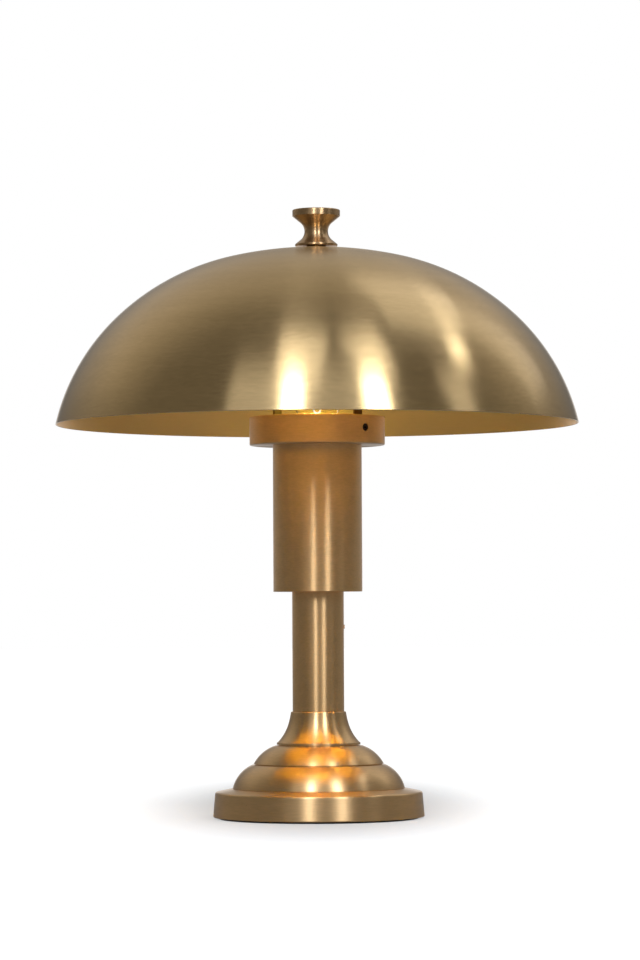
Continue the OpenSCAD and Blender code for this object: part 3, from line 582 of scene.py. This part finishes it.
def make_grommet():
    """A moulded rubber grommet with a rounded flange and a rolled bore."""
    low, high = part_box("cord_grommet")
    centre_z = (low.z + high.z) / 2
    flange = (high.x - low.x) / 2
    body = 5.5 * MM
    lip = 6.3 * MM
    bore = 3.6 * MM
    start = low.y
    lip_end = low.y + 1.3 * MM
    flat = high.y - 2 * MM
    reach = high.y
    outline = rounded([
        (bore, start, 0.4 * MM), (lip, start, 0.5 * MM),
        (lip, lip_end, 0.3 * MM), (body, lip_end, 0.2 * MM),
        (body, flat, 0.2 * MM), (flange, flat, 0.3 * MM),
        (flange, reach, 1.1 * MM), (bore, reach, 0.8 * MM),
    ])
    along = Matrix.Translation((0, 0, centre_z)) @ Matrix.Rotation(math.radians(-90), 4, "X")
    return stand_for(lathe("inlet_grommet", outline, 96, along=along), "cord_grommet")


def make_step(node, name, top_r, bulge, stands_r, register_r):
    """A hollow step with a rounded side and a crisp top edge.

    stands_r is the radius of what stands on it, and register_r that of the rim which centres it."""
    low, top, foot_r = span(node)
    high = top - GROOVE - SPIGOT
    c = left_centre((foot_r, low), (top_r, high), bulge)
    inner = bulge - STEP_WALL
    under = high - STEP_WALL
    side = arc(c, bulge, bearing(c, (foot_r, low)), bearing(c, (top_r, high)), 40)
    inside = arc(c, inner, math.degrees(math.asin((under - c.y) / inner)),
                 math.degrees(math.asin((low - c.y) / inner)), 20)
    side[0] += (BROKEN_EDGE,)
    side[-1] += (BROKEN_EDGE,)
    upper = [
        (stands_r - REVEAL, high), (stands_r - REVEAL, high + GROOVE), (register_r, high + GROOVE),
        (register_r, top), (ROD_BORE, top), (ROD_BORE, under),
    ]
    return turn(node, name, rounded(side + upper + inside))


def make_flare():
    """The stem's hollow-curved foot, from a small top ledge down to an upright lip."""
    low, top, foot_r = span("stem_flare")
    ledge_z = top - 6 * MM
    ledge_r = 22.15 * MM
    bore = 15.75 * MM
    floor_z = top - 11.4 * MM
    lip_z = low + 1.8 * MM
    cove_top = ledge_z - FINE_EDGE
    cove_r = foot_r - REVEAL / 2
    steps = 48
    straight = 0.38
    power = 2.8
    cove = []
    for t in (i / steps for i in range(steps + 1)):
        share = straight * t + (1 - straight) * t ** power
        cove.append((ledge_r + (cove_r - ledge_r) * share, cove_top + (lip_z - cove_top) * t))
    lip = arc((foot_r - FINE_EDGE, lip_z - FINE_EDGE), FINE_EDGE, 90, 0, 6)
    inner = [(ROD_BORE, floor_z), (ROD_BORE, top), (STEM_BORE, top), (STEM_BORE, ledge_z)]
    ledge = [(ledge_r - FINE_EDGE, ledge_z, 0.1 * MM)]
    foot = [(foot_r, low, 0.2 * MM), (bore, low), (bore, floor_z)]
    return turn("stem_flare", "flare", rounded(inner + ledge + cove + lip + foot))


def make_tubes():
    """The stem and the housing, with their cut edges broken."""
    low, high, r = span("stem_tube")
    bore = r - 1.8 * MM
    stem = [(bore, low), (r, low, BROKEN_EDGE), (r, high, BROKEN_EDGE), (bore, high)]
    turn("stem_tube", "stem", rounded(stem))
    low, high, r = span("housing_tube")
    bore = r - 2 * MM
    recess = r - 1 * MM
    shoulder = low + 1.25 * MM
    turn("housing_tube", "housing", rounded([
        (recess, low), (r, low, BROKEN_EDGE), (r, high, 0.15 * MM),
        (bore, high), (bore, shoulder), (recess, shoulder),
    ]))

# Lampholder and bulb

def make_sleeve():
    """The lampholder's threaded sleeve."""
    low, high, shoulder = span("lampholder_sleeve")
    z_collar = low + 12.8 * MM
    r = 19.5 * MM
    bore = 14.3 * MM
    foot_bore = 17.3 * MM
    pitch = 2 * MM
    groove = 0.55 * MM
    floor_z = low + 2 * MM
    outline = rounded([(foot_bore, low), (shoulder, low, 0.4 * MM), (shoulder, z_collar)])
    outline += upright(r, z_collar, high - 0.8 * MM, 160) + [(r - 0.5 * MM, high - 0.2 * MM)]
    outline += rounded([(r - 0.8 * MM, high), (bore, high, 0.5 * MM), (bore, floor_z)])
    outline += [(foot_bore, floor_z)]
    worm = thread(z_collar, high, pitch, groove, r)
    stand_for(lathe("holder_sleeve", outline, 128, worm), "lampholder_sleeve")


def make_clamping_ring():
    """The ribbed nut that clamps the lampholder."""
    low, high, r = span("clamping_ring")
    bore = 19.55 * MM
    rib_count = 30
    rib_depth = 0.7 * MM
    rim_r = r - 1.2 * MM

    def ribs(t, radius, z):
        grip = 0.5 - 0.5 * math.cos(rib_count * t)
        return (radius - rib_depth * grip ** 2 if radius > rim_r else radius), z

    outline = rounded([(bore, low), (r, low, 0.3 * MM), (r, high, 0.8 * MM), (bore, high, 0.4 * MM)])
    stand_for(lathe("ring_nut", supported(outline, longest=1 * MM), 480, ribs), "clamping_ring")


def make_screw_shell():
    """The thin rolled shell that the bulb screws into."""
    low, high, r = span("screw_shell")
    wall = 0.4 * MM
    depth = 0.45 * MM
    steps = 80

    def rolled(t, radius, z):
        return radius - depth * wave(t, z - low, BULB_PITCH), z

    outline = upright(r, low, high, steps) + upright(r - wall, low, high, steps)[::-1]
    stand_for(lathe("rolled_shell", outline, 96, rolled), "screw_shell")


def make_cap():
    """The bulb's nickelled cap with its rolled thread."""
    low, high, r = span("bulb_cap")
    groove = 0.9 * MM
    wall = 0.5 * MM
    edge = 0.3 * MM
    shell_z = high - 2 * MM
    root = r - groove
    inside = root - wall
    z_thread = low + 2 * MM
    z_plain = z_thread + 4 * BULB_PITCH
    outline = [(inside, low), (root, low)] + upright(root, low + 0.5 * MM, z_thread, 6)
    outline += upright(r, z_thread + 0.01 * MM, z_plain, 96) + [(r, high - edge), (r - edge, high)]
    outline += [(r - 2 * wall, high), (inside, shell_z)]
    worm = thread(z_thread - BULB_PITCH, z_plain + 1 * MM, BULB_PITCH, groove, r)
    stand_for(lathe("cap", outline, 128, worm), "bulb_cap")


def make_cap_end():
    """The black glass in the cap's foot and the soldered tip under it."""
    low, high, r = span("bulb_insulator")
    foot_r = 5 * MM
    rim = 0.4 * MM
    turn("bulb_insulator", "cap_insulator", rounded([
        (0, low), (foot_r, low, 0.3 * MM), (r, high - rim, 0.6 * MM), (r, high), (0, high),
    ]), 96)

    low, high, r = span("bulb_tip")
    rim_z = high - 0.5 * MM
    dent = 0.05
    core_r = 0.5 * MM
    turns = [math.radians(a) for a in range(0, 90, 9)]
    dome = [(r * math.cos(t), rim_z - (rim_z - low) * math.sin(t)) for t in turns]

    def solder(t, radius, z):
        return (radius * (1 - dent * abs(math.sin(1.5 * t))) if radius > core_r else radius), z

    stand_for(lathe("solder_tip", dome + [(0, low), (0, high), (r, high)], 64, solder), "bulb_tip")


def make_globe():
    """The clear globe, which runs straight down into its neck."""
    low, high, r = span("bulb_glass")
    wall = 0.8 * MM
    neck_r = 13.2 * MM
    mid = Vector((0, high - r))
    neck = Vector((neck_r, low))
    side = bearing(mid, neck) + math.degrees(math.acos(r / (neck - mid).length))
    outward = Vector((math.cos(math.radians(side)), math.sin(math.radians(side))))
    inner = neck - wall * outward
    outline = arc(mid, r, 90, side, 64) + [tuple(neck), (inner.x, low)] + arc(mid, r - wall, side, 90, 64)
    outline = [(max(p[0], 0), p[1]) for p in outline]
    stand_for(lathe("globe", supported(outline, longest=3 * MM), 160), "bulb_glass")


def make_glass_stem():
    """The glass foot inside the bulb, with a flared skirt and a slim pillar."""
    low, high, r = span("bulb_stem")
    slope_r = 4 * MM
    flare = 6.8 * MM
    steps = 8
    rise = 0.7 * MM
    outline = [(0, low), (r, low), (r, low + 1 * MM), (r - 0.8 * MM, low + 1.6 * MM)]
    for k in range(1, steps + 1):
        outline.append((slope_r + flare * (1 - k / steps) ** 2, low + 2 * MM + k * rise))
    outline += [(3 * MM, low + 16 * MM), (2.6 * MM, high - 4 * MM), (2.2 * MM, high - 1.2 * MM)]
    outline += [(1.2 * MM, high - 0.2 * MM), (0, high)]
    stand_for(lathe("glass_foot", outline, 96), "bulb_stem")


def make_filaments():
    """Five upright filament strips on their wires."""
    low, high, _ = span("bulb_filaments")
    ring = 8 * MM
    stick = 0.8 * MM
    tab = 2.2 * MM
    wire = 0.35 * MM
    arm = 0.3 * MM
    inset = 1 * MM
    strip = [(0, low + tab), (stick, low + tab, 0.3 * MM), (stick, high - tab, 0.3 * MM), (0, high - tab)]
    wire_line = [(0, low), (wire, low), (wire, high), (0, high)]
    arm_line = [(0, 0), (arm, 0), (arm, ring), (0, ring)]
    spots = [(0, 0)]
    for angle in (45, 135, 225, 315):
        spots.append((ring * math.cos(math.radians(angle)), ring * math.sin(math.radians(angle))))
    sticks = []
    wires = []
    for x, y in spots:
        place = Matrix.Translation((x, y, 0))
        sticks.append(lathe("stick", rounded(strip), 24, along=place))
        wires.append(lathe("wire", rounded(wire_line), 12, along=place))
        if x or y:
            for z in (low + inset, high - inset):
                lay = Matrix.Translation((0, 0, z)) @ Matrix.Rotation(math.atan2(y, x), 4, "Z")
                lay = lay @ Matrix.Rotation(math.radians(90), 4, "Y")
                wires.append(lathe("arm", arm_line, 12, along=lay))
    stand_for(join("filament_strips", sticks), "bulb_filaments")
    stand_for(join("filament_wires", wires), "bulb_filaments", FINISHES["nickel"])

# Harp, shade and knob

def make_harp():
    """A bent flat bar with softened edges, drilled for its two screws and the stud."""
    low, high, _ = span("harp")
    width = 8.5 * MM
    thick = 2 * MM
    bend = 13 * MM
    screw_z = low + 8.5 * MM
    leg = 46.74 * MM
    under = high - thick
    inner = bend - thick
    inner_leg = leg - thick
    screw_r = 1.55 * MM
    stud_r = 3.05 * MM
    past = 0.06
    deep = 0.01
    bow = rounded([
        (leg, low), (leg, high, bend), (-leg, high, bend), (-leg, low),
        (-inner_leg, low), (-inner_leg, under, inner), (inner_leg, under, inner), (inner_leg, low),
    ], 16)
    turned = Matrix.Rotation(math.radians(-45), 4, "Z")
    bar = prism("harp_bar", bow, -width / 2, width / 2, turned @ Matrix.Rotation(math.radians(90), 4, "X"))
    along = turned @ Matrix.Translation((0, 0, screw_z)) @ Matrix.Rotation(math.radians(90), 4, "Y")
    hole = [(0, -past), (screw_r, -past), (screw_r, past), (0, past)]
    stud = [(0, high - deep), (stud_r, high - deep), (stud_r, high + deep), (0, high + deep)]
    cut(bar, [lathe("hole", hole, 32, along=along), lathe("hole", stud, 48)])
    soft = bar.modifiers.new("edges", "BEVEL")
    soft.width, soft.segments, soft.limit_method = 0.3 * MM, 3, "ANGLE"
    soft.angle_limit = math.radians(50)
    return stand_for(crisp(bar), "harp")


def make_stud():
    """The stud that the knob screws on: a chamfered hexagon head under the bar, a fine thread over it."""
    low, high, _ = span("harp_stud")
    head_top = low + 3.5 * MM
    head_r = 5.2 * MM
    chamfer_r = 4.4 * MM
    chamfer = 0.5 * MM
    flats = 9 * MM
    r = 3 * MM
    z_plain = head_top + 2.5 * MM
    pitch = 1 * MM
    groove = 0.5 * MM
    point = 0.6 * MM
    nut = [(0, low), (chamfer_r, low), (head_r, low + chamfer), (head_r, head_top), (0, head_top)]
    head = lathe("head", nut, 96, hexagonal(flats))
    shank = [(0, head_top - 1 * MM), (r, head_top - 1 * MM), (r, z_plain)]
    shank += upright(r, z_plain + 0.05 * MM, high - point, 150) + [(r - point, high), (0, high)]
    rod = lathe("rod", shank, 64, thread(z_plain, high, pitch, groove, r))
    return stand_for(join("stud", [head, rod]), "harp_stud")


def make_seat():
    """The turned seat under the crown and its hub, and the washer under the knob."""
    low, high, r = span("shade_seat")
    bore = 3.3 * MM
    hub = 5.1 * MM
    shoulder = low + 3 * MM
    turn("shade_seat", "seat", rounded([
        (bore, low), (r, low, 0.4 * MM), (r, shoulder, 0.5 * MM),
        (hub, shoulder), (hub, high, 0.2 * MM), (bore, high),
    ]), 128)
    low, high, r = span("knob_washer")
    turn("knob_washer", "washer", rounded([
        (bore, low), (r, low, 0.3 * MM), (r, high, 0.3 * MM), (bore, high),
    ]), 128)


CROWN_R = 320 * MM
CROWN_ANGLE = 13
SHOULDER_ANGLE = 45
RIM_ANGLE = 77
SHADE_RISE = 142 * MM
SHADE_WALL = 1.2 * MM
SHADE_HOLE = 5.2 * MM


def dome_arcs(z_rim, rim_r):
    """Centre, radius and angles from the axis of the crown, shoulder and side arcs, which meet smoothly."""
    a, b, c = (math.radians(v) for v in (CROWN_ANGLE, SHOULDER_ANGLE, RIM_ANGLE))
    run = rim_r - CROWN_R * math.sin(a)
    rise = SHADE_RISE - CROWN_R * (1 - math.cos(a))
    run_a = math.sin(b) - math.sin(a)
    run_b = math.sin(c) - math.sin(b)
    rise_a = math.cos(a) - math.cos(b)
    rise_b = math.cos(b) - math.cos(c)
    share = run_a * rise_b - run_b * rise_a
    shoulder = (run * rise_b - run_b * rise) / share
    side = (run_a * rise - run * rise_a) / share
    crown_c = Vector((0, z_rim + SHADE_RISE - CROWN_R))
    shoulder_c = crown_c + (CROWN_R - shoulder) * Vector((math.sin(a), math.cos(a)))
    side_c = shoulder_c + (shoulder - side) * Vector((math.sin(b), math.cos(b)))
    return (
        (crown_c, CROWN_R, None, CROWN_ANGLE),
        (shoulder_c, shoulder, CROWN_ANGLE, SHOULDER_ANGLE),
        (side_c, side, SHOULDER_ANGLE, None),
    )


def dome_wall(arcs, depth, z_rim):
    """The dome's wall at a depth under its outer face, from its hole to its rim."""
    points = []
    for centre, radius, start, end in arcs:
        r = radius - depth
        first = math.degrees(math.acos(SHADE_HOLE / r)) if start is None else 90 - start
        last = math.degrees(math.asin((z_rim - centre.y) / r)) if end is None else 90 - end
        points += arc(centre, r, first, last, 44, 0 if start is None else 1)
    return points


def make_shade():
    """The spun dome, with a lightly rounded rim."""
    z_rim, _, rim_r = span("shade")
    arcs = dome_arcs(z_rim, rim_r)
    outer = dome_wall(arcs, 0, z_rim)
    inner = dome_wall(arcs, SHADE_WALL, z_rim)
    outer[-1] += (0.35 * MM,)
    inner[-1] += (0.25 * MM,)
    return stand_for(lathe("dome", rounded(outer + inner[::-1], 5), 320), "shade")


def make_knob():
    """The spool-shaped knob: a thin foot, a hollow waist between two cones and a thick head."""
    low, top, head_r = span("knob")
    foot_r = 17.1 * MM
    waist = 9.5 * MM
    cove = 9 * MM
    slope = 51
    foot_t = 1.6 * MM
    head_t = 5.3 * MM
    bore = 3.08 * MM
    z_bore = low + 14.1 * MM
    lean = math.radians(slope)
    cone_r = waist + cove * (1 - math.cos(lean))
    cone_h = cove * math.sin(lean)
    z_waist = low + foot_t + (foot_r - cone_r) / math.tan(lean) + cone_h
    hollow = arc((waist + cove, z_waist), cove, 180 + slope, 180 - slope, 40)
    outline = [(bore, low), (foot_r, low, FINE_EDGE), (foot_r, low + foot_t, BROKEN_EDGE)] + hollow
    outline += [(head_r, top - head_t, 0.35 * MM), (head_r, top, 1 * MM), (0, top)]
    outline += [(0, z_bore), (bore, z_bore)]
    return turn("knob", "spool_knob", rounded(outline))


make_felt()
make_cover_screws()
make_grommet()
make_step("lower_step", "step_low", top_r=53.6 * MM, bulge=27 * MM,
          stands_r=52.2 * MM, register_r=48.82 * MM)
make_step("upper_step", "step_high", top_r=35.0 * MM, bulge=30 * MM,
          stands_r=33.6 * MM, register_r=15.25 * MM)
make_flare()
make_tubes()
make_sleeve()
make_clamping_ring()
make_screw_shell()
make_cap()
make_cap_end()
make_globe()
make_glass_stem()
make_filaments()
make_harp()
make_stud()
make_seat()
make_shade()
make_knob()

# What stays as built takes its finish

for node, thing in frame["nodes"].items():
    for used in thing.material_slots:
        used.material = finish_of(node)

# Studio

CAMERA_AT = (0.0021, -2.890, 0.162)
CAMERA_TILT = 2.16
CAMERA_ROLL = -0.27
LENS = 135
SENSOR = 36
SIGHT = 100
BOX_DISTANCE = 2.6
BOX_TARGET = (0, 0, 0.25)
BOX_COLOUR = (0.91, 1.0, 1.18)
BULB_POWER = 0.88
BULB_COLOUR = (1.0, 0.98, 0.24)
BULB_RADIUS = 0.02
ROOM = 0.17
ROOM_BEHIND = 0.50
FLOOR_GLOW = 0.86


def camera():
    """The photograph's view: nearly level with the foot, tilted up a little and very slightly rolled."""
    data = bpy.data.cameras.new("camera")
    data.lens, data.sensor_width, data.clip_end = LENS, SENSOR, SIGHT
    thing = new_object("camera", data)
    tilt = Matrix.Rotation(math.radians(90 + CAMERA_TILT), 4, "X")
    roll = Matrix.Rotation(math.radians(CAMERA_ROLL), 4, "Z")
    thing.matrix_world = Matrix.Translation(CAMERA_AT) @ tilt @ roll
    scene.camera = thing


def softbox(name, azimuth, elevation, wide, tall, radiance):
    """A softbox that faces the object, sized in degrees. Azimuth 0 is the camera's side and 90 is +X."""
    width, height = (2 * BOX_DISTANCE * math.tan(math.radians(size / 2)) for size in (wide, tall))
    data = bpy.data.lights.new(name, "AREA")
    data.shape, data.size, data.size_y = "RECTANGLE", width, height
    data.energy, data.color = radiance * math.pi * width * height, BOX_COLOUR
    thing = new_object(name, data)
    a = math.radians(azimuth)
    e = math.radians(elevation)
    away = Vector((math.sin(a) * math.cos(e), -math.cos(a) * math.cos(e), math.sin(e)))
    thing.location = Vector(BOX_TARGET) + away * BOX_DISTANCE
    thing.rotation_euler = away.to_track_quat("Z", "Y").to_euler()
    thing.visible_camera = False


def bulb_light():
    """The light of the glowing filaments, from the middle of the bulb."""
    _, high, r = span("bulb_glass")
    data = bpy.data.lights.new("bulb_light", "POINT")
    data.energy, data.color, data.shadow_soft_size = BULB_POWER, BULB_COLOUR, BULB_RADIUS
    data.cycles.use_multiple_importance_sampling = False
    thing = new_object("bulb_light", data)
    thing.location = (0, 0, high - r)
    thing.visible_camera = False


def studio():
    """Two upright softboxes beside the camera, with weaker ones over them and at both sides."""
    softbox("front_left", -11, 28, 7.5, 29, 12.0)
    softbox("front_right", 27, 28, 9, 29, 10.0)
    softbox("between", 8, 34, 26, 34, 0.45)
    softbox("upper_left", -10, 56, 16, 28, 1.3)
    softbox("upper_right", 33, 56, 14, 26, 1.2)
    softbox("far_left", -27, 32, 24, 36, 0.6)
    softbox("right_low", 68, 30, 11, 24, 0.75)
    softbox("right_high", 89, 47, 9, 6, 4.6)
    softbox("right_top", 118, 62, 36, 24, 0.65)
    softbox("right_far", 124, 40, 20, 36, 0.42)


def shown(g):
    """1 for rays that look straight at the background, and 1 for those that see it in metal or glass."""
    path = g.node("LightPath").outputs
    return path["Is Camera Ray"], g.math("MAXIMUM", path["Is Glossy Ray"], path["Is Transmission Ray"])


def room():
    """Dim surroundings, paler high behind the object, with a white backdrop behind it."""
    g = Graph(bpy.data.worlds.new("room"))
    scene.world = g.owner
    _, y, z = g.node("SeparateXYZ", {"Vector": g.node("TexCoord").outputs["Generated"]}).outputs[:3]
    high_behind = g.math("MULTIPLY", g.scale(y, -0.05, 0.5), g.scale(z, 0.15, 0.5))
    level = g.scale(high_behind, 0.0, 1.0, ROOM, ROOM_BEHIND)
    seen, mirrored = shown(g)
    backdrop = g.math("MULTIPLY", g.scale(y, 0.95, 0.99), mirrored)
    level = g.math("MAXIMUM", level, g.math("MAXIMUM", seen, backdrop))
    light = g.node("Background", {"Color": rgb(1, 1, 1), "Strength": level}).outputs[0]
    g.tree.links.new(light, g.node("OutputWorld").inputs["Surface"])


def painted_shadow_oval(g):
    """A painted shadow: a share that falls in a soft oval round and behind the foot, which dims the floor's
    glow there.
    """
    shift = (0, -0.38, 0)
    squeeze = (7.3, 2.0, 1)
    core = 0.4
    rim = 1.3
    least = 0.42
    oval = g.node("Mapping", {"Vector": g.place(), "Location": shift, "Scale": squeeze}).outputs[0]
    distance = g.node("VectorMath", {0: oval}, operation="LENGTH").outputs["Value"]
    return g.scale(distance, core, rim, least, 1.0, "SMOOTHSTEP")


def floor():
    """A pale floor that carries the object's shadow from the lamps, darkened further by a painted shadow
    oval round the foot, and shows white elsewhere.
    """
    half = 15.0
    mesh = bpy.data.meshes.new("floor")
    corners = [(-half, -half, 0), (half, -half, 0), (half, half, 0), (-half, half, 0)]
    mesh.from_pydata(corners, [], [(0, 1, 2, 3)])
    thing = new_object("floor", mesh)
    g = Graph(bpy.data.materials.new("floor"))
    grain = g.noise(g.place(), 3.0)
    seen, mirrored = shown(g)
    y = g.node("SeparateXYZ", {"Vector": g.place()}).outputs["Y"]
    # The floor's glow is cut by the painted shadow oval round and behind the foot.
    glow = g.math("MULTIPLY", g.scale(y, 0.5, 3.0, FLOOR_GLOW, 1.0), painted_shadow_oval(g))
    behind = g.math("MULTIPLY", g.scale(y, 1.5, 5.0), mirrored)
    mesh.materials.append(g.surface({
        "Base Color": g.mix(g.scale(grain, 0.3, 0.7), rgb(0.34, 0.34, 0.34), rgb(0.36, 0.36, 0.36)),
        "Roughness": 0.9,
        "Specular IOR Level": 0.0,
        "Emission Color": rgb(1, 1, 1),
        "Emission Strength": g.math("MULTIPLY", g.math("MAXIMUM", seen, behind), glow),
    }))


camera()
bulb_light()
studio()
room()
floor()
scene.view_settings.view_transform = "Standard"
